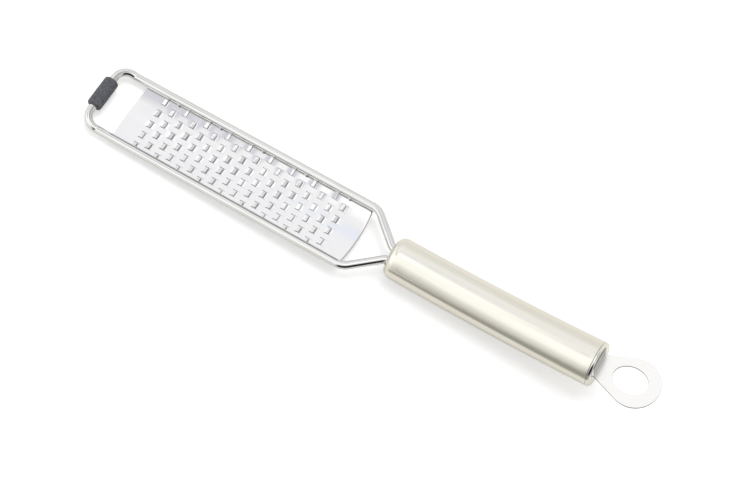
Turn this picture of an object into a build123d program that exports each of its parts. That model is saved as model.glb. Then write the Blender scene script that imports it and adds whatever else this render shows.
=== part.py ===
from build123d import *
import os
from math import atan2, cos, degrees, radians, sin, sqrt

# All lengths are in millimetres. While it is built, the tool lies with its rails along x and level,
# its tip towards -x, the middle of the handle's mouth at x = 0 and the wires' centres at z = 0.

# Bent wire frame
wire_diameter = 4.0
rail_spacing = 33.5
neck_length = 16.8
rail_length = 137.8
tip_reach = 7.5
tip_rise = 2.3
leg_spacing = 5.2
leg_corner_lead = 0.5
wire_end_depth = 16.0
neck_bend_radius = 8.0
leg_bend_radius = 8.0
kink_bend_radius = 5.0
tip_corner_radius = 6.6

# Grating blade: a sheet bent to a shallow trough under the rails
sheet_thickness = 0.5
trough_radius = 82.0
blade_length = 127.2
blade_setback = 19.6
blade_end_bulge = 1.5
blade_lap = 0.35
blade_rail_gap = 0.03

# Teeth: each is two slits and a cross cut that leave a short tongue and a long one
column_count = 18
row_count = 5
row_pitch = 6.75
first_cut_margin = 12.1
last_cut_margin = 12.25
tooth_width = 3.84
slit_width = 0.3
long_tongue_length = 2.13
short_tongue_length = 1.51
long_tongue_rise = 0.45
short_tongue_drop = 0.3
cross_cut_gap = 0.1

# Weld tacks between the blade and the rails
tack_radius = 1.0
tack_inset = 1.4
columns_between_tacks = 4

# Rubber sleeve on the tip's crossbar
foot_diameter = 7.5
foot_length = 16.3
foot_edge_round = 1.2
foot_fit = 0.05

# Handle tube: slightly bowed, a little wider at the tail, drawn in at the mouth
tube_length = 107.1
mouth_diameter = 20.6
tail_diameter = 21.7
tube_wall = 0.8
mouth_round = 4.2
mouth_hole_diameter = 11.4
bow_radius = 702.0
bow_low_point = 24.1

# Plug that holds the wires' ends inside the mouth
plug_length = 13.0
plug_fit = 0.05
plug_nose_recess = 0.3
wire_fit = 0.05

# End cap
cap_head_length = 1.7
cap_edge_round = 1.5
cap_seam_gap = 0.15
cap_skirt_length = 6.0
cap_skirt_wall = 1.2
cap_fit = 0.05

# Hanging plate
plate_thickness = 0.9
plate_root_width = 12.0
plate_head_diameter = 23.9
plate_head_reach = 17.7
plate_hole_length = 16.6
plate_hole_width = 13.1
plate_hole_offset = 2.3
plate_tang_length = 9.0
plate_tang_step = 0.05
plate_edge_bevel = 0.15
slot_fit = 0.05

# How far a cutting tool runs past the face that it cuts
overrun = 1.0

# How many places along the tube are tried to find where it touches the table
underside_stations = 60

# Worked out from the sizes above
wire_radius = wire_diameter / 2
rail_y = rail_spacing / 2
leg_y = leg_spacing / 2
neck_x = -neck_length
kink_x = neck_x - rail_length
crossbar_x = kink_x - tip_reach
trough_axis_z = sqrt((trough_radius - wire_radius - blade_rail_gap) ** 2 - rail_y ** 2)
sheet_under_radius = trough_radius + sheet_thickness
rail_angle = degrees(atan2(rail_y, trough_axis_z))
blade_half_angle = rail_angle + degrees(blade_lap / trough_radius)
blade_end_x = -blade_setback
blade_tip_x = blade_end_x - blade_length
first_cut_x = blade_tip_x + first_cut_margin
last_cut_x = blade_end_x - last_cut_margin
column_pitch = (last_cut_x - first_cut_x) / (column_count - 1)
mouth_radius = mouth_diameter / 2
tail_radius = tail_diameter / 2
tang_thickness = plate_thickness - 2 * plate_tang_step


def handle_radius(distance):
    """Outer radius of the tube at a distance along its axis from the mouth."""
    return mouth_radius + (tail_radius - mouth_radius) * distance / tube_length


def handle_plane(distance):
    """Plane square to the bowed axis, its normal towards the tail, its x along the tool's y."""
    turn = (distance - bow_low_point) / bow_radius
    along = bow_low_point + bow_radius * sin(turn)
    height = bow_radius * (1 - cos(turn))
    return Plane(origin=(along, 0, height), x_dir=(0, 1, 0), z_dir=(cos(turn), 0, sin(turn)))


def handle_core(start, stop, inset):
    """Solid along the bowed axis whose sides lie a steady inset inside the tube's outside."""
    middle = (start + stop) / 2
    rings = []
    for distance in (start, middle, stop):
        rings.append(handle_plane(distance) * Circle(handle_radius(distance) - inset))
    return loft(rings)


def round_mouth_end(core, radius):
    """Round the edge of the end nearest the mouth."""
    end_face = core.faces().filter_by(GeomType.PLANE).sort_by(Axis.X)[0]
    return fillet(end_face.edges(), radius)


def make_wire_frame():
    """One wire: both ends in the handle, two legs, two rails and the raised crossbar."""
    near_side = [
        (wire_end_depth, leg_y, 0),
        (-leg_corner_lead, leg_y, 0),
        (neck_x, rail_y, 0),
        (kink_x, rail_y, 0),
        (crossbar_x, rail_y, tip_rise),
    ]
    far_side = [(x, -y, z) for x, y, z in reversed(near_side)]
    bends = [leg_bend_radius, neck_bend_radius, kink_bend_radius, tip_corner_radius]
    path = FilletPolyline(*near_side, *far_side, radius=bends + bends[::-1])
    start = Plane(origin=path @ 0, z_dir=path % 0)
    return sweep(start * Circle(wire_radius), path=path)


def trough_sector(x_start, x_stop, inner, outer, angle):
    """Part of a ring round the trough's axis, from inner to outer radius, centred below it."""
    corners = [(x_start, 0, -inner), (x_stop, 0, -inner), (x_stop, 0, -outer), (x_start, 0, -outer)]
    profile = make_face(Polyline(*corners, close=True))
    ring = revolve(profile, Axis.X, angle)
    return Rot(-angle / 2, 0, 0) * ring


def tongue(hinge_x, free_x, lift):
    """A tongue that leaves the sheet at its hinge and is lift higher at its free edge."""
    corners = [
        (hinge_x, 0, -trough_radius),
        (free_x, 0, -trough_radius + lift),
        (free_x, 0, -sheet_under_radius + lift),
        (hinge_x, 0, -sheet_under_radius),
    ]
    profile = make_face(Polyline(*corners, close=True))
    angle = degrees((tooth_width - 2 * slit_width) / trough_radius)
    return Rot(-angle / 2, 0, 0) * revolve(profile, Axis.X, angle)


def tooth_places():
    """Cut line and turn round the trough's axis of every tooth; every second column has one row fewer."""
    row_angle = degrees(row_pitch / trough_radius)
    places = []
    for column in range(column_count):
        rows = row_count - column % 2
        for row in range(rows):
            turn = (row - (rows - 1) / 2) * row_angle
            places.append(Pos(first_cut_x + column * column_pitch, 0, 0) * Rot(turn, 0, 0))
    return places


def make_plain_sheet():
    """The blade before its teeth are cut, round the trough's axis."""
    side = trough_radius * sin(radians(blade_half_angle))
    tip_arc = ThreePointArc((blade_tip_x, -side), (blade_tip_x - blade_end_bulge, 0), (blade_tip_x, side))
    tail_arc = ThreePointArc((blade_end_x, side), (blade_end_x + blade_end_bulge, 0), (blade_end_x, -side))
    near_side = Line(tip_arc @ 1, tail_arc @ 0)
    far_side = Line(tail_arc @ 1, tip_arc @ 0)
    outline = make_face([tip_arc, near_side, tail_arc, far_side])
    column = extrude(Pos(0, 0, -sheet_under_radius - overrun) * outline, sheet_under_radius)
    x_start = blade_tip_x - blade_end_bulge - overrun
    x_stop = blade_end_x + blade_end_bulge + overrun
    sector = trough_sector(x_start, x_stop, trough_radius, sheet_under_radius, 2 * blade_half_angle)
    return sector & column


def make_grating_blade():
    """The sheet with every tooth's window cut and its two tongues bent out of the sheet."""
    window = trough_sector(
        -long_tongue_length,
        short_tongue_length,
        trough_radius - overrun,
        sheet_under_radius + overrun,
        degrees(tooth_width / trough_radius),
    )
    long_tongue = tongue(-long_tongue_length, -cross_cut_gap / 2, long_tongue_rise)
    short_tongue = tongue(short_tongue_length, cross_cut_gap / 2, -short_tongue_drop)
    windows = []
    tongues = []
    for place in tooth_places():
        windows.append(place * window)
        tongues.append(place * long_tongue)
        tongues.append(place * short_tongue)
    blade = make_plain_sheet().cut(*windows).fuse(*tongues)
    return Pos(0, 0, trough_axis_z) * blade


def make_weld_tacks():
    """Small beads in the wedge between each rail and the blade, beside the shorter columns."""
    rail_core = Rot(0, 90, 0) * Cylinder(wire_radius, 2 * (neck_length + rail_length))
    sheet = Pos(0, 0, trough_axis_z) * make_plain_sheet()
    beads = []
    for side in (-1, 1):
        tack_y = rail_y - tack_inset
        under_wire = -sqrt(wire_radius ** 2 - tack_inset ** 2)
        on_sheet = trough_axis_z - sqrt(trough_radius ** 2 - tack_y ** 2)
        rail = Pos(0, side * rail_y, 0) * rail_core
        for column in range(1, column_count, columns_between_tacks):
            tack_x = first_cut_x + column * column_pitch
            ball = Pos(tack_x, side * tack_y, (under_wire + on_sheet) / 2) * Sphere(tack_radius)
            bead = ball - rail - sheet
            beads.append(bead.solids().sort_by(SortBy.VOLUME)[-1])
    return Compound(beads)


def make_rubber_foot():
    """Sleeve pushed over the middle of the crossbar."""
    sleeve = Cylinder(foot_diameter / 2, foot_length)
    ends = sleeve.faces().filter_by(GeomType.PLANE)
    sleeve = fillet(ends.edges(), foot_edge_round)
    bore = Cylinder(wire_radius + foot_fit, foot_length + 2 * overrun)
    return Pos(crossbar_x, 0, tip_rise) * Rot(90, 0, 0) * (sleeve - bore)


def make_handle_tube():
    """Thin tube with its mouth drawn in round a hole, open at the tail."""
    outside = round_mouth_end(handle_core(0, tube_length, 0), mouth_round)
    inside = round_mouth_end(handle_core(tube_wall, tube_length, tube_wall), mouth_round - tube_wall)
    hole = handle_plane(0) * Cylinder(mouth_hole_diameter / 2, 2 * (tube_wall + overrun))
    return outside - inside - hole


def make_mouth_plug():
    """Plug that fills the drawn-in mouth, with a bore for each end of the wire."""
    inset = tube_wall + plug_fit
    body = round_mouth_end(handle_core(inset, inset + plug_length, inset), mouth_round - tube_wall)
    nose_length = inset + plug_length / 2
    nose_radius = mouth_hole_diameter / 2 - plug_fit
    middle = plug_nose_recess + nose_length / 2
    nose = handle_plane(0) * Pos(0, 0, middle) * Cylinder(nose_radius, nose_length)
    plug = body + nose
    for side in (-1, 1):
        plug = plug - leg_bore(side)
    return plug


def leg_bore(side):
    """The way of one leg through the plug: the wire's own bend and width, with its fit round it."""
    points = [
        (plug_length + tube_wall + plug_fit + overrun, side * leg_y, 0),
        (-leg_corner_lead, side * leg_y, 0),
        (neck_x, side * rail_y, 0),
    ]
    path = FilletPolyline(*points, radius=leg_bend_radius)
    start = Plane(origin=path @ 0, z_dir=path % 0)
    return sweep(start * Circle(wire_radius + wire_fit), path=path)


def make_end_cap():
    """Cap with a rounded rim, a skirt inside the tube and a slot for the hanging plate."""
    seat = tube_length + cap_seam_gap
    head = handle_plane(seat) * extrude(Circle(tail_radius), cap_head_length)
    rim = head.faces().filter_by(GeomType.PLANE).sort_by(Axis.X)[-1]
    head = fillet(rim.edges(), cap_edge_round)
    skirt_start = tube_length - cap_skirt_length
    skirt = handle_core(skirt_start, seat, tube_wall + cap_fit)
    hollow = handle_core(skirt_start, seat, tube_wall + cap_fit + cap_skirt_wall)
    slot_width = plate_root_width + 2 * slot_fit
    slot_height = tang_thickness + 2 * slot_fit
    slot = handle_plane(seat) * Box(slot_width, slot_height, 2 * (cap_head_length + overrun))
    return head + (skirt - hollow) - slot


def plate_outline():
    """Teardrop seen from above, x along the plate from the cap's face."""
    head_radius = plate_head_diameter / 2
    root_y = plate_root_width / 2
    head = Pos(plate_head_reach, 0) * Circle(head_radius)
    span = sqrt(plate_head_reach ** 2 + root_y ** 2)
    turn = atan2(root_y, plate_head_reach)
    tangent_length = sqrt(span ** 2 - head_radius ** 2)
    tangent_turn = atan2(head_radius, tangent_length) - turn
    shoulder_x = tangent_length * cos(tangent_turn)
    shoulder_y = root_y + tangent_length * sin(tangent_turn)
    sides = [
        (0, -root_y),
        (shoulder_x, -shoulder_y),
        (shoulder_x, shoulder_y),
        (0, root_y),
    ]
    return head + make_face(Polyline(*sides, close=True))


def make_hanging_plate():
    """Flat teardrop plate with an oval hole, and a slightly thinner tang that goes through the cap."""
    hole_x = plate_head_reach - plate_hole_offset
    hole = Pos(hole_x, 0) * Ellipse(plate_hole_length / 2, plate_hole_width / 2)
    plate = extrude(plate_outline() - hole, plate_thickness / 2, both=True)
    flats = plate.faces().filter_by(Axis.Z)
    plate = chamfer(flats.edges(), plate_edge_bevel)
    tang = Box(plate_tang_length + plate_edge_bevel, plate_root_width, tang_thickness)
    plate = plate + Pos((plate_edge_bevel - plate_tang_length) / 2, 0, 0) * tang
    face = handle_plane(tube_length + cap_seam_gap + cap_head_length)
    lie = Plane(origin=face.origin, x_dir=face.z_dir, z_dir=face.z_dir.cross(Vector(0, 1, 0)))
    return lie * plate


def rest_slope():
    """Slope of the line that touches the blade (at a tooth or its tip edge) and the underside of the tube from below."""
    tooth_bottom = trough_axis_z - sheet_under_radius - short_tongue_drop
    sheet_bottom = trough_axis_z - sheet_under_radius
    blade_points = [
        (first_cut_x + cross_cut_gap / 2, tooth_bottom),
        (blade_tip_x - blade_end_bulge, sheet_bottom),
    ]
    tube_points = []
    for station in range(underside_stations + 1):
        distance = mouth_round + (tube_length - mouth_round) * station / underside_stations
        plane = handle_plane(distance)
        radius = handle_radius(distance)
        below = plane.origin + plane.z_dir.cross(Vector(0, 1, 0)) * -radius
        tube_points.append((below.X, below.Z))
    slopes = []
    for blade_x, blade_z in blade_points:
        slopes.append(min((z - blade_z) / (x - blade_x) for x, z in tube_points))
    return max(slopes)


def main():
    pieces = {
        "wire_frame": make_wire_frame(),
        "grating_blade": make_grating_blade(),
        "weld_tacks": make_weld_tacks(),
        "rubber_foot": make_rubber_foot(),
        "handle_tube": make_handle_tube(),
        "mouth_plug": make_mouth_plug(),
        "end_cap": make_end_cap(),
        "hanging_plate": make_hanging_plate(),
    }
    # The tool is laid down on its blade and handle, with the origin under the middle of its box
    tilt = Rot(0, degrees(atan2(rest_slope(), 1)), 0)
    laid = {name: tilt * shape for name, shape in pieces.items()}
    box = Compound(list(laid.values())).bounding_box()
    centre = box.center()
    place = Pos(-centre.X, -centre.Y, -box.min.Z)
    os.makedirs("parts", exist_ok=True)
    for name, shape in laid.items():
        export_step(place * shape, f"parts/{name}.step")
    print("tilt", degrees(atan2(rest_slope(), 1)))
    print("size", box.size)
    print("shift", place.position)


main()
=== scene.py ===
from math import atan2, cos, pi, radians, sin, sqrt, tan

import bmesh
import bpy
from mathutils import Matrix, Vector


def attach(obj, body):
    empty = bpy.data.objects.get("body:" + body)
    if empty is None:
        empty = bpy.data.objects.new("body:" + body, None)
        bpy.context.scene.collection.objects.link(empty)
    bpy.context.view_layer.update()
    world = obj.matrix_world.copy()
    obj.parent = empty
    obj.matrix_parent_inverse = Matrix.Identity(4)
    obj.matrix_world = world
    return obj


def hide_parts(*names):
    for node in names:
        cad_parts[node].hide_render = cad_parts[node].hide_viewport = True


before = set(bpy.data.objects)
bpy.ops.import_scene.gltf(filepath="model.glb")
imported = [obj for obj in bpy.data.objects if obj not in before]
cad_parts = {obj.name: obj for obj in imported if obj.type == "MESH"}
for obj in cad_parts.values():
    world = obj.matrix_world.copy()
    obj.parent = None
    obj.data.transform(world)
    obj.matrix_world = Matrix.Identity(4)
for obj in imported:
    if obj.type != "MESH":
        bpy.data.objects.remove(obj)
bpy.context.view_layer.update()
print("frame loaded:", len(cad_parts), "CAD pieces")

# The pieces are drawn in millimetres with the rails level, then laid on the table as the CAD is
lay = {"tilt": -2.15648, "shift": (14.0111, 0.0, 9.88114)}
turnToTable = Matrix.Rotation(radians(lay["tilt"]), 4, "Y")
toTable = Matrix.Scale(0.001, 4) @ Matrix.Translation(lay["shift"]) @ turnToTable


# shader maths: a wrapped socket that can be added, multiplied and so on

class Value:
    def __init__(self, maker, socket):
        self.maker = maker
        self.socket = socket

    def __add__(self, other):
        return self.maker.math("ADD", self, other)

    def __radd__(self, other):
        return self.maker.math("ADD", other, self)

    def __sub__(self, other):
        return self.maker.math("SUBTRACT", self, other)

    def __rsub__(self, other):
        return self.maker.math("SUBTRACT", other, self)

    def __mul__(self, other):
        return self.maker.math("MULTIPLY", self, other)

    def __rmul__(self, other):
        return self.maker.math("MULTIPLY", other, self)

    def __truediv__(self, other):
        return self.maker.math("DIVIDE", self, other)

    def __rtruediv__(self, other):
        return self.maker.math("DIVIDE", other, self)

    def part(self, name):
        # another output of the same node
        return Value(self.maker, self.socket.node.outputs[name])


class NodeMaker:
    def __init__(self, owner):
        owner.use_nodes = True
        self.tree = owner.node_tree
        self.tree.nodes.clear()

    # one way to make any node: its type, its settings first, then values or links for its sockets
    def node(self, kind, settings=None, inputs=None, output=0):
        made = self.tree.nodes.new("ShaderNode" + kind)
        for key, value in (settings or {}).items():
            setattr(made, key, value)
        for key, value in (inputs or {}).items():
            socket = made.inputs[key]
            if isinstance(value, Value):
                self.tree.links.new(value.socket, socket)
            elif socket.type == "RGBA" and len(value) == 3:
                socket.default_value = (*value, 1.0)
            else:
                socket.default_value = value
        if not made.outputs:
            return None
        return Value(self, made.outputs[output])

    def math(self, operation, first, second=0.0):
        return self.node("Math", {"operation": operation}, {0: first, 1: second})

    def dot(self, first, second):
        return self.node("VectorMath", {"operation": "DOT_PRODUCT"}, {0: first, 1: second}, output=1)

    def spread(self, value, low, high, outLow=0.0, outHigh=1.0):
        # a soft step from low to high
        settings = {"interpolation_type": "SMOOTHSTEP", "clamp": True}
        return self.node("MapRange", settings, {0: value, 1: low, 2: high, 3: outLow, 4: outHigh})

    def mixColour(self, share, first, second):
        settings = {"data_type": "RGBA", "blend_type": "MIX", "clamp_factor": True}
        return self.node("Mix", settings, {0: share, 6: first, 7: second}, output=2)

    def scaled(self, vector, scale):
        return self.node("VectorMath", {"operation": "MULTIPLY"}, {0: vector, 1: scale})

    def noise(self, vector, scale, detail=2.0, roughness=0.5):
        inputs = {"Vector": vector, "Scale": scale, "Detail": detail, "Roughness": roughness}
        return self.node("TexNoise", {}, inputs)

    def objectPlace(self):
        # the place on a piece, in metres on the table
        return self.node("TexCoord", output=3)

    def straightPlace(self):
        # the place that a bent piece had before it was bent, in millimetres
        return self.node("Attribute", {"attribute_name": "straight"}, output=1)


metalPattern = {
    "broadAlong": 0.4, "broadAcross": 0.22, "grainScale": 2.2,
    "scratchEdge": (0.70, 0.76), "scratchRough": 0.06, "pitEdge": (0.80, 0.86), "stainEdge": (0.35, 0.75),
}


def metal(name, look, paintedShade=None):
    # lines run along the first axis of where; stains, fine scratches and small pits lie over them
    pattern = metalPattern
    material = bpy.data.materials.new(name)
    maker = NodeMaker(material)
    if look.get("straight"):
        where = maker.straightPlace()
    else:
        where = maker.scaled(maker.objectPlace(), (1000, 1000, 1000))
    along, across = look["lineScale"]
    lines = maker.noise(maker.scaled(where, (along, across, across)), 1.0, 3.0, 0.6)
    broadAlong, broadAcross = along * pattern["broadAlong"], across * pattern["broadAcross"]
    broad = maker.noise(maker.scaled(where, (broadAlong, broadAcross, broadAcross)), 1.0, 2.0)
    stains = maker.noise(maker.scaled(where, look.get("stainScale", (0.03, 0.09, 0.09))), 1.0, 3.0, 0.55)
    grain = maker.noise(maker.scaled(where, (pattern["grainScale"],) * 3), 1.0, 2.0)
    scratchPlace = maker.scaled(where, look.get("scratchScale", (0.05, 2.4, 2.4)))
    scratches = maker.spread(maker.noise(scratchPlace, 1.0, 1.0), *pattern["scratchEdge"])
    pits = maker.spread(maker.noise(where, look.get("pitScale", 0.9), 0.0), *pattern["pitEdge"])
    shade = (lines - 0.5) * look["lineColour"] + (broad - 0.5) * look["lineColour"]
    shade = shade + (stains - 0.5) * look["stainColour"]
    shade = shade - pits * look.get("pitColour", 0.0) + 1.0
    if paintedShade:                                              # painted shade by a crevice or a corner, where the piece has one
        share = paintedShade(maker)
        if "shadeBreaks" in look:
            share = share * maker.spread(lines, *look["shadeBreaks"])
        shade = shade * (1.0 - share)
    tinted = maker.mixColour(maker.spread(stains, *pattern["stainEdge"]), look["colour"], look["stained"])
    colour = maker.node("VectorMath", {"operation": "SCALE"}, {0: tinted, 3: shade})
    rough = (lines - 0.5) * look["lineRough"] + (stains - 0.5) * look["stainRough"]
    rough = rough + scratches * pattern["scratchRough"] + look["roughness"]
    height = lines * look["lineDepth"] + broad * look["lineDepth"] + grain * look["grainDepth"]
    height = height - scratches * look["scratchDepth"] - pits * look.get("pitDepth", 0.0)
    bump = maker.node("Bump", {}, {"Strength": 1.0, "Distance": 0.001, "Height": height})
    inputs = {"Base Color": colour, "Metallic": 1.0, "Roughness": rough, "Normal": bump}
    shader = maker.node("BsdfPrincipled", {}, inputs)
    maker.node("OutputMaterial", {}, {"Surface": shader})
    return material


# small helpers for the meshes

def newPiece(name, bm, material, cadNode):
    bm.transform(toTable)
    mesh = bpy.data.meshes.new(name)
    bm.to_mesh(mesh)
    bm.free()
    for face in mesh.polygons:
        face.use_smooth = True
    mesh.materials.append(material)
    piece = bpy.data.objects.new(name, mesh)
    bpy.context.scene.collection.objects.link(piece)
    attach(piece, "root")
    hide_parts(cadNode)
    print(name, "made:", len(mesh.polygons), "faces")
    return piece


def addModifier(piece, kind, **settings):
    modifier = piece.modifiers.new(kind.title(), kind)
    for key, value in settings.items():
        setattr(modifier, key, value)


shaping = {"bevelAngle": 50, "roundSteps": 14, "longEdge": 6, "edgeLength": 3, "weld": 0.0005}


def thicken(piece, sheet, edge, offset):
    # a flat sheet gets its thickness, with the edge material on its rim, and small bevels
    piece.data.materials.append(edge)
    addModifier(piece, "SOLIDIFY", thickness=sheet["thickness"] / 1000, offset=offset, material_offset_rim=1)
    addModifier(piece, "BEVEL", width=sheet["bevel"] / 1000, segments=sheet["bevelSteps"],
                limit_method="ANGLE", angle_limit=radians(shaping["bevelAngle"]), harden_normals=True)


def extruded(bm, edges):
    # new verts on top of the old ones, and the edges between them
    made = bmesh.ops.extrude_edge_only(bm, edges=edges)["geom"]
    verts = [item for item in made if isinstance(item, bmesh.types.BMVert)]
    return verts, [item for item in made if isinstance(item, bmesh.types.BMEdge)
                   and all(v in verts for v in item.verts)]


def faceUp(bm):
    bmesh.ops.recalc_face_normals(bm, faces=bm.faces)
    if sum(face.normal.z for face in bm.faces) < 0:
        bmesh.ops.reverse_faces(bm, faces=bm.faces)


def turned(corners, steps):
    # a half section of (along, radius, rounding) corners, turned round the x axis
    bm = bmesh.new()
    straight = bm.verts.layers.float_vector.new("straight")
    points = [bm.verts.new((along, 0, radius)) for along, radius, rounding in corners]
    for first, second in zip(points, points[1:]):
        bm.edges.new((first, second))
    for point, (along, radius, rounding) in zip(points, corners):
        if rounding:
            bmesh.ops.bevel(bm, geom=[point], offset=rounding, offset_type="OFFSET",
                            segments=shaping["roundSteps"], profile=0.5, affect="VERTICES", material=-1,
                            clamp_overlap=False)
    for edge in [edge for edge in bm.edges if edge.calc_length() > shaping["longEdge"]]:
        bmesh.ops.subdivide_edges(bm, edges=[edge], cuts=int(edge.calc_length() / shaping["edgeLength"]))
    bmesh.ops.spin(bm, geom=bm.verts[:] + bm.edges[:], cent=(0, 0, 0), axis=(1, 0, 0),
                   angle=2 * pi, steps=steps, use_merge=True, use_duplicate=False)
    bmesh.ops.remove_doubles(bm, verts=bm.verts, dist=shaping["weld"])
    bmesh.ops.recalc_face_normals(bm, faces=bm.faces)
    for vert in bm.verts:
        vert[straight] = vert.co
    return bm


# bent wire frame

wire = {
    "diameter": 4.0, "sides": 40, "bendSteps": 14, "stepLength": 6,
    "endDepth": 14.0, "legSpacing": 5.2, "legLead": 0.5, "neckLength": 16.8,
    "railSpacing": 33.5, "railLength": 137.8, "tipReach": 7.5, "tipRise": 2.3,
    "legBend": 8.0, "neckBend": 8.0, "kinkBend": 5.0, "tipCorner": 6.6,
}
wireLook = {
    "straight": True, "colour": (0.74, 0.74, 0.735), "stained": (0.69, 0.685, 0.67),
    "lineScale": (0.03, 5.0), "lineColour": 0.05, "lineRough": 0.05, "lineDepth": 0.0016,
    "stainColour": 0.05, "stainRough": 0.05, "stainScale": (0.06, 0.3, 0.3), "roughness": 0.075,
    "grainDepth": 0.0004, "scratchDepth": 0.001, "scratchScale": (0.15, 3.0, 3.0),
    # how much the brushing lines break up the painted shade line on the near rail
    "shadeBreaks": (0.2, 0.45, 0.75, 1.0),
}
# painted shade line on the near rail beside the sheet: degrees round the wire, then metres on the table
seam = {
    "angle": 66.5, "inner": 3.0, "outer": 9.5, "shade": 0.90,
    "tipEnd": (-0.1335, -0.1325), "tailEnd": (-0.0062, -0.0052), "nearSide": (0.012, -0.012),
}


def railPaintedShade(maker):
    # painted shade: a thin dark line on the near rail where the sheet meets it, by the angle round the wire
    where = maker.node("SeparateXYZ", {}, {0: maker.objectPlace()})
    beside = maker.spread(where, *seam["tipEnd"]) * (1.0 - maker.spread(where, *seam["tailEnd"]))
    angle, reach = radians(seam["angle"]), wire["diameter"] / 2
    facing = maker.dot(maker.straightPlace(), (0.0, cos(angle) / reach, sin(angle) / reach))
    line = maker.spread(facing, cos(radians(seam["outer"])), cos(radians(seam["inner"])))
    return line * seam["shade"] * maker.spread(where.part("Y"), *seam["nearSide"]) * beside


def makeWire():
    bm = bmesh.new()
    straight = bm.verts.layers.float_vector.new("straight")
    rail, leg = wire["railSpacing"] / 2, wire["legSpacing"] / 2
    kinkX = -wire["neckLength"] - wire["railLength"]
    half = [
        (wire["endDepth"], leg, 0), (-wire["legLead"], leg, 0), (-wire["neckLength"], rail, 0),
        (kinkX, rail, 0), (kinkX - wire["tipReach"], rail, wire["tipRise"]),
    ]
    bends = [wire["legBend"], wire["neckBend"], wire["kinkBend"], wire["tipCorner"]]
    corners = [Vector(p) for p in half] + [Vector((x, -y, z)) for x, y, z in reversed(half)]
    bends = bends + bends[::-1]
    heading = (corners[1] - corners[0]).normalized()
    facing = Matrix.Translation(corners[0]) @ heading.to_track_quat("Z", "Y").to_matrix().to_4x4()
    bmesh.ops.create_circle(bm, cap_ends=True, segments=wire["sides"], radius=wire["diameter"] / 2,
                            matrix=facing)
    for vert in bm.verts:
        vert[straight] = facing.inverted() @ vert.co
        vert[straight].z = 0
    ring = bm.edges[:]
    place, run = corners[0].copy(), 0.0
    for index in range(1, len(corners)):
        last = index == len(corners) - 1
        start = corners[index]
        if not last:
            nextHeading = (corners[index + 1] - corners[index]).normalized()
            angle = heading.angle(nextHeading)
            start = corners[index] - heading * bends[index - 1] * tan(angle / 2)
        length = (start - place).length                      # a straight run
        pieces = max(1, round(length / wire["stepLength"]))
        for step in range(pieces):
            verts, ring = extruded(bm, ring)
            bmesh.ops.translate(bm, verts=verts, vec=heading * length / pieces)
            run += length / pieces
            for vert in verts:
                vert[straight] = (vert[straight].x, vert[straight].y, run)
        place = start
        if last:
            break
        axis = heading.cross(nextHeading).normalized()       # then a bend round its centre
        centre = place + axis.cross(heading) * bends[index - 1]
        steps = wire["bendSteps"]
        for step in range(steps):
            verts, ring = extruded(bm, ring)
            bmesh.ops.rotate(bm, verts=verts, cent=centre, matrix=Matrix.Rotation(angle / steps, 3, axis))
            run += bends[index - 1] * angle / steps
            for vert in verts:
                vert[straight] = (vert[straight].x, vert[straight].y, run)
        place = centre + Matrix.Rotation(angle, 3, axis) @ (place - centre)
        heading = nextHeading
    bmesh.ops.contextual_create(bm, geom=ring)
    bmesh.ops.recalc_face_normals(bm, faces=bm.faces)
    for vert in bm.verts:                                     # the run becomes the first axis
        vert[straight] = (vert[straight].z, vert[straight].x, vert[straight].y)
    newPiece("bent_wire", bm, metal("polishedWire", wireLook, railPaintedShade), "wire_frame")


makeWire()


# grating blade: cut flat, then rolled to the trough

blade = {
    "thickness": 0.5, "trough": 82.0, "length": 127.2, "setback": 19.6, "bulge": 1.5, "lap": 0.35,
    "gap": 0.03, "bevel": 0.04, "bevelSteps": 1, "near": 0.001, "cutWeld": 0.0001,
    "columns": 18, "rows": 5, "rowPitch": 6.75, "firstMargin": 12.1, "lastMargin": 12.25,
    "toothWidth": 3.84, "slit": 0.36, "shortSlit": 0.05, "longTongue": 2.13, "shortTongue": 1.51,
    "rise": 0.42, "drop": 0.22, "cut": 0.05, "tongueSteps": 5, "riseCurve": 1.3, "dropCurve": 1.5,
    "unevenness": 0.22, "unevenWave": (2.3, 1.7),
    "lipLength": 0.8, "lipDrop": 0.35, "lipMargin": 0.4, "endRows": (4, 8),
}
bladeLook = {
    "colour": (0.85, 0.85, 0.855), "stained": (0.82, 0.82, 0.832),
    "lineScale": (0.05, 3.0), "lineColour": 0.04, "lineRough": 0.05, "lineDepth": 0.0012,
    "stainColour": 0.05, "stainRough": 0.05, "stainScale": (0.05, 0.08, 0.08), "roughness": 0.11,
    "grainDepth": 0.0006, "scratchDepth": 0.001,
}
cutLook = {
    "colour": (0.52, 0.52, 0.535), "stained": (0.43, 0.43, 0.445),
    "lineScale": (1.5, 1.5), "lineColour": 0.1, "lineRough": 0.1, "lineDepth": 0.004,
    "stainColour": 0.1, "stainRough": 0.06, "roughness": 0.42, "grainDepth": 0.002, "scratchDepth": 0.0,
}
# painted shade on the sheet beside the far rail: where it starts and ends across the sheet in millimetres,
# and how dark
crevice = {"inner": 14.4, "outer": 15.0, "shade": 0.38}


def railCreviceShade(maker):
    # painted shade: the sheet is darker close to the far rail
    sideways = maker.node("SeparateXYZ", {}, {0: maker.objectPlace()}).part("Y") * 1000.0
    return maker.spread(sideways, crevice["inner"], crevice["outer"]) * crevice["shade"]


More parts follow.
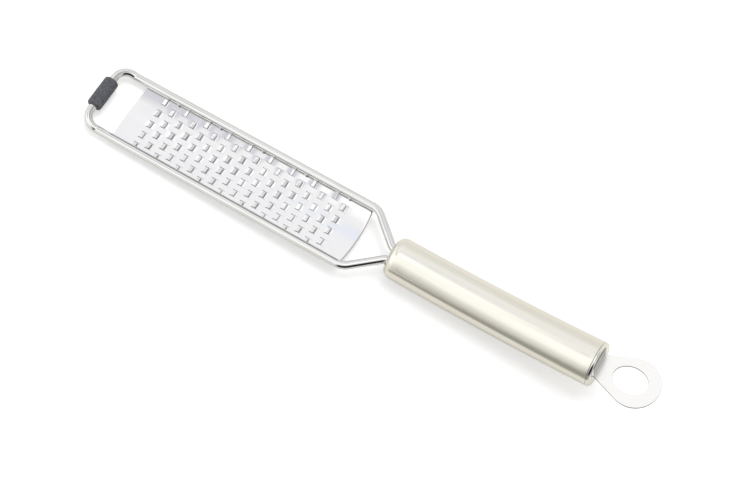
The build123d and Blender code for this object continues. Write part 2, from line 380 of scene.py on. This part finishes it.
def makeBlade():
    b = blade
    wireRadius, railY = wire["diameter"] / 2, wire["railSpacing"] / 2
    axisZ = sqrt((b["trough"] - wireRadius - b["gap"]) ** 2 - railY ** 2)
    halfSpread = b["trough"] * atan2(railY, axisZ) + b["lap"]
    tailX = -b["setback"]
    tipX = tailX - b["length"]
    firstCut, lastCut = tipX + b["firstMargin"], tailX - b["lastMargin"]
    pitch = (lastCut - firstCut) / (b["columns"] - 1)
    teeth = []
    for column in range(b["columns"]):
        rows = b["rows"] - column % 2
        for row in range(rows):
            teeth.append((firstCut + column * pitch, (row - (rows - 1) / 2) * b["rowPitch"]))
    bm = bmesh.new()
    outline = [(tipX, -halfSpread), (tailX, -halfSpread), (tailX, halfSpread), (tipX, halfSpread)]
    bm.faces.new([bm.verts.new((x, s, 0)) for x, s in outline])

    def cutAt(point, normal):
        bmesh.ops.bisect_plane(bm, geom=bm.verts[:] + bm.edges[:] + bm.faces[:], dist=b["cutWeld"],
                               plane_co=point, plane_no=normal)

    for x in sorted({x for x, s in teeth}):
        cutAt((x - b["longTongue"], 0, 0), (1, 0, 0))
        cutAt((x + b["shortTongue"], 0, 0), (1, 0, 0))
    bowedEnd = b["lipLength"] + b["lipMargin"]
    for step in (b["lipLength"] / 2, b["lipLength"], bowedEnd, *b["endRows"]):
        cutAt((tipX + step, 0, 0), (1, 0, 0))
        cutAt((tailX - step, 0, 0), (1, 0, 0))
    halfTooth = b["toothWidth"] / 2
    for s in sorted({round(s, 6) for x, s in teeth}):
        for inset in (0, b["shortSlit"], b["slit"], halfTooth):
            cutAt((0, s - halfTooth + inset, 0), (0, 1, 0))
            cutAt((0, s + halfTooth - inset, 0), (0, 1, 0))
    windows = []
    for face in bm.faces:
        middle = face.calc_center_median()
        for x, s in teeth:
            inLength = x - b["longTongue"] < middle.x < x + b["shortTongue"]
            if inLength and abs(middle.y - s) < halfTooth:
                windows.append(face)
    bmesh.ops.delete(bm, geom=windows, context="FACES")
    halfCut = b["cut"] / 2
    waveX, waveS = b["unevenWave"]
    tongues = []
    for x, s in teeth:
        uneven = 1 + b["unevenness"] * sin(x * waveX + s * waveS)    # no two teeth are punched quite alike
        for hingeX, freeX, lift, slit in ((x - b["longTongue"], x - halfCut, b["rise"], b["slit"]),
                                          (x + b["shortTongue"], x + halfCut, -b["drop"], b["shortSlit"])):
            half = halfTooth - slit + b["near"]
            edges = [edge for edge in bm.edges
                     if all(abs(v.co.x - hingeX) < b["near"] and abs(v.co.y - s) < half for v in edge.verts)]
            tongues.append((edges, freeX - hingeX, lift * uneven))
    for edges, reach, lift in tongues:                        # each tongue grows from its hinge in steps
        for step in range(b["tongueSteps"]):
            verts, edges = extruded(bm, edges)
            share, before = (step + 1) / b["tongueSteps"], step / b["tongueSteps"]
            curve = b["riseCurve"] if lift > 0 else b["dropCurve"]
            rise = lift * (share ** curve - before ** curve)
            bmesh.ops.translate(bm, verts=verts, vec=(reach / b["tongueSteps"], 0, rise))
    for vert in bm.verts:                                     # bowed ends, the tail's with a turned-down lip
        bow = b["bulge"] * (1 - (vert.co.y / halfSpread) ** 2)
        fromTail = tailX - vert.co.x
        if vert.co.x < tipX + bowedEnd + b["near"]:
            vert.co.x -= bow
        if fromTail < bowedEnd + b["near"]:
            vert.co.x += bow
            vert.co.z -= b["lipDrop"] * max(0, 1 - fromTail / b["lipLength"]) ** 2
    for vert in bm.verts:                                     # rolled round the trough's axis
        radius, turn = b["trough"] - vert.co.z, vert.co.y / b["trough"]
        vert.co = (vert.co.x, radius * sin(turn), axisZ - radius * cos(turn))
    faceUp(bm)
    steel = metal("rolledSheet", bladeLook, railCreviceShade)
    piece = newPiece("toothed_sheet", bm, steel, "grating_blade")
    thicken(piece, b, metal("punchedEdge", cutLook), -1.0)


makeBlade()


# rubber sleeve on the crossbar

sleeve = {"diameter": 7.5, "length": 16.3, "round": 1.2, "bore": 4.1, "swell": 0.015, "steps": 64}
sleeveLook = {
    "colour": (0.058, 0.062, 0.075), "dust": (0.27, 0.275, 0.295),
    "dustScale": 1.1, "dustEdge": (0.47, 0.68), "dustShare": 0.34, "cloudScale": 0.35, "cloudShare": 0.34,
    "roughness": 0.46, "grainScale": 3.2, "grainRough": 0.14, "cloudRough": 0.1,
    "grainDepth": 0.035, "ribScale": 0.9, "ribBend": 0.6, "ribDepth": 0.004, "dustLess": 0.08, "shine": 0.4,
}


def rubber(name, look):
    material = bpy.data.materials.new(name)
    maker = NodeMaker(material)
    where = maker.scaled(maker.objectPlace(), (1000, 1000, 1000))
    grain = maker.noise(where, look["grainScale"], 3.0, 0.6)
    cloud = maker.noise(where, look["cloudScale"], 3.0, 0.6)
    dust = maker.spread(maker.noise(where, look["dustScale"], 4.0, 0.7), *look["dustEdge"])
    ribs = maker.node("TexWave", {"bands_direction": "X", "wave_profile": "SIN"},
                      {"Vector": where, "Scale": look["ribScale"], "Distortion": look["ribBend"]})
    share = dust * look["dustShare"] + cloud * look["cloudShare"] - look["dustLess"]
    colour = maker.mixColour(share, look["colour"], look["dust"])
    rough = grain * look["grainRough"] + cloud * look["cloudRough"] + look["roughness"]
    height = grain * look["grainDepth"] + ribs * look["ribDepth"]
    bump = maker.node("Bump", {}, {"Strength": 1.0, "Distance": 0.001, "Height": height})
    inputs = {"Base Color": colour, "Roughness": rough, "Normal": bump, "Specular IOR Level": look["shine"]}
    shader = maker.node("BsdfPrincipled", {}, inputs)
    maker.node("OutputMaterial", {}, {"Surface": shader})
    return material


def makeSleeve():
    half, outer, inner = sleeve["length"] / 2, sleeve["diameter"] / 2, sleeve["bore"] / 2
    corners = [
        (-half, inner, 0), (-half, outer, sleeve["round"]), (half, outer, sleeve["round"]),
        (half, inner, 0), (-half, inner, 0),
    ]
    bm = turned(corners, sleeve["steps"])
    for vert in bm.verts:                                     # fuller in the middle, drawn in at its ends
        swell = 1 - sleeve["swell"] + sleeve["swell"] * cos(vert.co.x / half * pi / 2)
        vert.co.y *= swell
        vert.co.z *= swell
    kinkX = -wire["neckLength"] - wire["railLength"]
    middle = Matrix.Translation((kinkX - wire["tipReach"], 0, wire["tipRise"]))
    bm.transform(middle @ Matrix.Rotation(pi / 2, 4, "Z"))
    newPiece("tip_sleeve", bm, rubber("mattRubber", sleeveLook), "rubber_foot")


makeSleeve()


# handle: tube, cap and hanging plate, all along one bowed axis

grip = {
    "length": 107.1, "mouth": 20.6, "tail": 21.7, "wall": 0.8, "mouthRound": 4.2, "mouthHole": 11.4,
    "bowRadius": 702.0, "bowLow": 24.1, "steps": 128,
    "edgeRound": 0.1, "holeRound": 0.25, "tailRound": 0.2, "innerRound": 3.0,
}
gripLook = {
    "straight": True, "colour": (0.82, 0.80, 0.73), "stained": (0.79, 0.765, 0.69),
    "lineScale": (0.035, 4.2), "lineColour": 0.08, "lineRough": 0.10, "lineDepth": 0.004,
    "stainColour": 0.05, "stainRough": 0.06, "stainScale": (0.03, 0.12, 0.12), "roughness": 0.20,
    "grainDepth": 0.001, "scratchDepth": 0.004, "scratchScale": (0.08, 2.6, 2.6),
    "pitColour": 0.05, "pitDepth": 0.004,
}
cap = {
    "head": 1.7, "round": 1.5, "seam": 0.15, "seamRound": 0.12,
    "skirt": 6.0, "skirtWall": 1.2, "fit": 0.05, "edgeRound": 0.1, "skirtRound": 0.2,
}
capLook = {
    "straight": True, "colour": (0.84, 0.825, 0.77), "stained": (0.80, 0.78, 0.72),
    "lineScale": (1.5, 1.5), "lineColour": 0.03, "lineRough": 0.05, "lineDepth": 0.0012,
    "stainColour": 0.05, "stainRough": 0.05, "stainScale": (0.2, 0.2, 0.2), "roughness": 0.11,
    "grainDepth": 0.0008, "scratchDepth": 0.002, "scratchScale": (2.0, 0.3, 2.5),
}
plate = {
    "thickness": 0.9, "root": 12.0, "head": 23.9, "reach": 17.68, "tang": 4.0,
    "bevel": 0.09, "bevelSteps": 3,
    "holeLength": 16.6, "holeWidth": 13.1, "holeOffset": 2.3, "sides": 128,
}
plateLook = {
    "straight": True, "colour": (0.94, 0.93, 0.90), "stained": (0.92, 0.905, 0.86),
    "lineScale": (0.12, 2.8), "lineColour": 0.05, "lineRough": 0.06, "lineDepth": 0.0025,
    "stainColour": 0.05, "stainRough": 0.08, "stainScale": (0.12, 0.16, 0.16), "roughness": 0.24,
    "grainDepth": 0.0015, "scratchDepth": 0.003, "scratchScale": (0.5, 1.1, 1.1),
    "pitColour": 0.35, "pitDepth": 0.02, "pitScale": 0.55,
}
# the plate's sheared edge: duller steel, and darkened further as painted shade
plateEdgeShadedLook = {
    "straight": True, "colour": (0.13, 0.12, 0.10), "stained": (0.10, 0.09, 0.08),
    "lineScale": (1.5, 1.5), "lineColour": 0.1, "lineRough": 0.1, "lineDepth": 0.004,
    "stainColour": 0.1, "stainRough": 0.06, "roughness": 0.45, "grainDepth": 0.002, "scratchDepth": 0.0,
}
# painted shade on the cap's end face round the plate's root
rootShade = {"width": 5.9, "soft": 0.5, "reach": 0.35, "height": (-1.0, 0.3), "shade": 0.84}


def bow(bm):
    # from straight along x to the handle's slight bow
    for vert in bm.verts:
        turn = (vert.co.x - grip["bowLow"]) / grip["bowRadius"]
        reach = grip["bowRadius"] - vert.co.z
        vert.co = (grip["bowLow"] + reach * sin(turn), vert.co.y, grip["bowRadius"] - reach * cos(turn))


def gripRadius(along):
    return grip["mouth"] / 2 + (grip["tail"] - grip["mouth"]) / 2 * along / grip["length"]


def makeGrip():
    g = grip
    end, wall, hole = g["length"], g["wall"], g["mouthHole"] / 2
    corners = [
        (wall, hole, g["edgeRound"]), (0, hole, g["holeRound"]), (0, gripRadius(0), g["mouthRound"]),
        (end, gripRadius(end), g["tailRound"]), (end, gripRadius(end) - wall, g["edgeRound"]),
        (wall, gripRadius(0) - wall, g["innerRound"]), (wall, hole, 0),
    ]
    bm = turned(corners, g["steps"])
    bow(bm)
    newPiece("grip_tube", bm, metal("brushedTube", gripLook), "handle_tube")


def capRootShade(maker):
    # painted shade: the end face is darker where the plate's root leaves it
    where = maker.node("SeparateXYZ", {}, {0: maker.straightPlace()})
    sideways = maker.math("ABSOLUTE", where.part("Y"))
    width, soft, reach = rootShade["width"], rootShade["soft"], rootShade["reach"]
    end = grip["length"] + cap["seam"] + cap["head"]
    face = maker.spread(where, end - reach, end - reach / 2)
    middle = 1.0 - maker.spread(sideways, width - soft, width + soft)
    return face * middle * maker.spread(where.part("Z"), *rootShade["height"]) * rootShade["shade"]


def makeCap():
    seat = grip["length"] + cap["seam"]
    outer = gripRadius(grip["length"])
    inside = outer - grip["wall"] - cap["fit"]
    skirtEnd, end = grip["length"] - cap["skirt"], seat + cap["head"]
    corners = [
        (skirtEnd, inside - cap["skirtWall"], cap["edgeRound"]), (skirtEnd, inside, cap["skirtRound"]),
        (seat, inside, 0), (seat, outer, cap["seamRound"]), (end, outer, cap["round"]), (end, 0, 0),
    ]
    bm = turned(corners, grip["steps"])
    bow(bm)
    newPiece("tail_cap", bm, metal("polishedCap", capLook, capRootShade), "end_cap")


def makePlate():
    p = plate
    face = grip["length"] + cap["seam"] + cap["head"]
    bm = bmesh.new()
    straight = bm.verts.layers.float_vector.new("straight")
    radius, root = p["head"] / 2, p["root"] / 2
    bmesh.ops.create_circle(bm, segments=p["sides"], radius=radius)
    span = sqrt(p["reach"] ** 2 + root ** 2)
    tangent = sqrt(span ** 2 - radius ** 2)
    touch = tangent * cos(atan2(radius, tangent) - atan2(root, p["reach"])) - p["reach"]
    bmesh.ops.delete(bm, geom=[v for v in bm.verts if v.co.x < touch], context="VERTS")
    ends = sorted((v for v in bm.verts if len(v.link_edges) == 1), key=lambda v: v.co.y)
    corners = [bm.verts.new((x - p["reach"], y, 0))
               for x, y in ((0, -root), (-p["tang"], -root), (-p["tang"], root), (0, root))]
    chain = [ends[0], *corners, ends[1]]
    for first, second in zip(chain, chain[1:]):
        bm.edges.new((first, second))
    hole = bmesh.ops.create_circle(bm, segments=p["sides"], radius=1.0)["verts"]
    bmesh.ops.scale(bm, verts=hole, vec=(p["holeLength"] / 2, p["holeWidth"] / 2, 1))
    bmesh.ops.translate(bm, verts=hole, vec=(-p["holeOffset"], 0, 0))
    bmesh.ops.triangle_fill(bm, use_beauty=True, use_dissolve=False, edges=bm.edges[:])
    faceUp(bm)
    bmesh.ops.translate(bm, verts=bm.verts, vec=(p["reach"], 0, 0))
    for vert in bm.verts:
        vert[straight] = vert.co
    turn = (face - grip["bowLow"]) / grip["bowRadius"]
    middle = (grip["bowLow"] + grip["bowRadius"] * sin(turn), 0, grip["bowRadius"] * (1 - cos(turn)))
    bm.transform(Matrix.Translation(middle) @ Matrix.Rotation(-turn, 4, "Y"))
    piece = newPiece("hang_plate", bm, metal("satinPlate", plateLook), "hanging_plate")
    thicken(piece, p, metal("stampedEdgeShaded", plateEdgeShadedLook), 0.0)


makeGrip()
makeCap()
makePlate()


# CAD pieces that stay: the plug inside the mouth and the weld beads

innerLook = {
    "colour": (0.62, 0.62, 0.60), "stained": (0.52, 0.51, 0.49),
    "lineScale": (2.4, 0.4), "lineColour": 0.1, "lineRough": 0.12, "lineDepth": 0.006,
    "stainColour": 0.15, "stainRough": 0.12, "roughness": 0.34, "grainDepth": 0.004, "scratchDepth": 0.002,
}
weldLook = {
    "colour": (0.86, 0.855, 0.84), "stained": (0.70, 0.68, 0.66),
    "lineScale": (1.2, 1.2), "lineColour": 0.12, "lineRough": 0.12, "lineDepth": 0.012,
    "stainColour": 0.25, "stainRough": 0.15, "stainScale": (0.5, 0.5, 0.5), "roughness": 0.42,
    "grainDepth": 0.012, "scratchDepth": 0.0,
}


def dress(node, material):
    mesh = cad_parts[node].data
    mesh.materials.clear()
    mesh.materials.append(material)


dress("mouth_plug", metal("turnedPlug", innerLook))
dress("weld_tacks", metal("weldBead", weldLook))
print("materials given to the CAD pieces that stay")


# studio: floor, surroundings, lamp and camera

studio = {
    "floorColour": (0.93, 0.93, 0.93), "floorLift": 0.29, "floorSize": 12.0,
    "mirroredFloor": (0.82, 0.805, 0.76), "mirroredLift": 0.28,
    "frontColour": (0.34, 0.335, 0.31), "frontEdge": (-0.038, -0.050), "frontStart": (-0.03, 0.01),
    "fill": 0.74, "sunStrength": 1.1, "sunAzimuth": 68.0, "sunElevation": 70.0, "sunWidth": 36.0,
    "wall": (0.90, 0.89, 0.87), "overhead": (1.5, 1.5, 1.5), "overheadEdge": (0.950, 0.976),
    "low": (0.42, 0.42, 0.42), "lowAzimuth": -80, "lowEdge": (0.90, 0.96), "lowTop": (0.04, 0.22),
    # an upright dark screen one metre off: left, right, bottom, top and softness in metres
    "dark": (0.035, 0.03, 0.05), "darkAzimuth": -56.0, "darkSides": (-0.85, 0.75, -0.4, 1.35, 0.22),
    "darkAhead": (0.02, 0.08),
    # soft round patches of the walls: azimuth, elevation, inner and outer edge in degrees, colour
    "patches": [
        (-150, 42, 12, 50, (1.34, 1.34, 1.33)),
        (122, 54, 10, 28, (1.04, 1.04, 1.05)),
        (153, 52, 3, 11, (1.25, 1.25, 1.25)),
        (158, 20, 6, 12, (1.25, 1.25, 1.25)),
        (160, 41, 6, 10, (0.75, 0.75, 0.79)),
        (30, 50, 12, 32, (0.55, 0.55, 0.55)),
        (184, 60.5, 8.5, 12.5, (0.74, 0.74, 0.80)),
        (121, 68, 2, 7, (0.93, 0.96, 1.06)),
    ],
}
view = {
    "azimuth": 31.05, "elevation": 66.918, "distance": 790.5, "aim": (-7.8, -1.853, 0.0),
    "focalPixels": 1700.0, "widthPixels": 750, "sensor": 36.0, "clip": (0.01, 50.0),
}


def makeFloor():
    bm = bmesh.new()
    bmesh.ops.create_grid(bm, x_segments=1, y_segments=1, size=studio["floorSize"] / 2)
    mesh = bpy.data.meshes.new("floor")
    bm.to_mesh(mesh)
    bm.free()
    material = bpy.data.materials.new("floorPaper")
    maker = NodeMaker(material)
    paths = maker.node("LightPath", output="Is Camera Ray")
    glossy, clear = paths.part("Is Glossy Ray"), paths.part("Is Transmission Ray")
    seen = maker.math("MAXIMUM", maker.math("MAXIMUM", paths, glossy), clear)
    where = maker.node("SeparateXYZ", {}, {0: maker.objectPlace()})
    front = maker.spread(where.part("Y") * -1.0, -studio["frontEdge"][0], -studio["frontEdge"][1])
    front = front * maker.spread(where, *studio["frontStart"]) * glossy
    tone = maker.mixColour(glossy, studio["floorColour"], studio["mirroredFloor"])
    tone = maker.mixColour(front, tone, studio["frontColour"])
    paper = maker.node("BsdfDiffuse", {}, {"Color": tone})
    lift = seen * (1.0 - glossy * (1.0 - studio["mirroredLift"])) * (1.0 - front) * studio["floorLift"]
    glow = maker.node("Emission", {}, {"Color": (1.0, 1.0, 1.0), "Strength": lift})
    both = maker.node("AddShader", {}, {0: paper, 1: glow})
    maker.node("OutputMaterial", {}, {"Surface": both})
    mesh.materials.append(material)
    floor = bpy.data.objects.new("floor", mesh)
    bpy.context.scene.collection.objects.link(floor)


def makeSurroundings():
    world = bpy.data.worlds.new("studio")
    bpy.context.scene.world = world
    maker = NodeMaker(world)
    ray = maker.node("TexCoord", output=0)

    def towards(azimuth):                                     # how far a ray goes that way, level
        return maker.dot(ray, (cos(radians(azimuth)), sin(radians(azimuth)), 0.0))

    def between(value, low, high, soft):                      # 1 from low to high, with soft ends
        within = maker.spread(value, low - soft, low + soft)
        return within * (1.0 - maker.spread(value, high - soft, high + soft))

    up = maker.dot(ray, (0.0, 0.0, 1.0))

    def screen(azimuth, left, right, bottom, top, soft):
        # share of a ray that meets an upright screen one metre off, its sides measured on it
        ahead, across = towards(azimuth), towards(azimuth + 90)
        near = maker.math("MAXIMUM", ahead, studio["darkAhead"][0])
        share = between(across / near, left, right, soft) * between(up / near, bottom, top, soft)
        return share * maker.spread(ahead, *studio["darkAhead"])

    def patch(azimuth, elevation, inner, outer):
        # share of a ray in a soft round patch
        flat = cos(radians(elevation))
        direction = (flat * cos(radians(azimuth)), flat * sin(radians(azimuth)), sin(radians(elevation)))
        return maker.spread(maker.dot(ray, direction), cos(radians(outer)), cos(radians(inner)))

    colour = maker.mixColour(maker.spread(up, *studio["overheadEdge"]), studio["wall"], studio["overhead"])
    for azimuth, elevation, inner, outer, tone in studio["patches"]:
        colour = maker.mixColour(patch(azimuth, elevation, inner, outer), colour, tone)
    low = maker.spread(towards(studio["lowAzimuth"]), *studio["lowEdge"])
    low = low * (1.0 - maker.spread(up, *studio["lowTop"]))
    colour = maker.mixColour(low, colour, studio["low"])
    dark = screen(studio["darkAzimuth"], *studio["darkSides"])
    colour = maker.mixColour(dark, colour, studio["dark"])
    paths = maker.node("LightPath", output="Is Camera Ray")
    glossy, clear = paths.part("Is Glossy Ray"), paths.part("Is Transmission Ray")
    fill = maker.mixColour(glossy, (studio["fill"],) * 3, colour)
    fill = maker.mixColour(maker.math("MAXIMUM", paths, clear), fill, (1.0, 1.0, 1.0))
    background = maker.node("Background", {}, {"Color": fill, "Strength": 1.0})
    maker.node("OutputWorld", {}, {"Surface": background})


def makeLamp():
    lamp = bpy.data.lights.new("softSun", "SUN")
    lamp.energy = studio["sunStrength"]
    lamp.angle = radians(studio["sunWidth"])
    light = bpy.data.objects.new("softSun", lamp)
    azimuth, elevation = radians(studio["sunAzimuth"]), radians(studio["sunElevation"])
    back = Vector((cos(azimuth) * cos(elevation), sin(azimuth) * cos(elevation), sin(elevation)))
    light.rotation_mode = "QUATERNION"
    light.rotation_quaternion = back.to_track_quat("Z", "Y")
    light.visible_glossy = False
    bpy.context.scene.collection.objects.link(light)


def makeCamera():
    azimuth, elevation = radians(view["azimuth"]), radians(view["elevation"])
    back = Vector((sin(azimuth) * cos(elevation), -cos(azimuth) * cos(elevation), sin(elevation)))
    right = Vector((cos(azimuth), sin(azimuth), 0.0))
    up = back.cross(right)
    facing = Matrix((right, up, back)).transposed().to_4x4()
    place = Vector(view["aim"]) + back * view["distance"]
    lens = bpy.data.cameras.new("photoCamera")
    lens.sensor_width = view["sensor"]
    lens.lens = view["focalPixels"] * view["sensor"] / view["widthPixels"]
    lens.clip_start, lens.clip_end = view["clip"]
    camera = bpy.data.objects.new("photoCamera", lens)
    camera.rotation_mode = "QUATERNION"
    camera.location = toTable @ place
    camera.rotation_quaternion = (turnToTable @ facing).to_quaternion()
    bpy.context.scene.collection.objects.link(camera)
    bpy.context.scene.camera = camera


makeFloor()
makeSurroundings()
makeLamp()
makeCamera()
bpy.context.scene.view_settings.view_transform = "Standard"
print("studio, lamp and camera set")
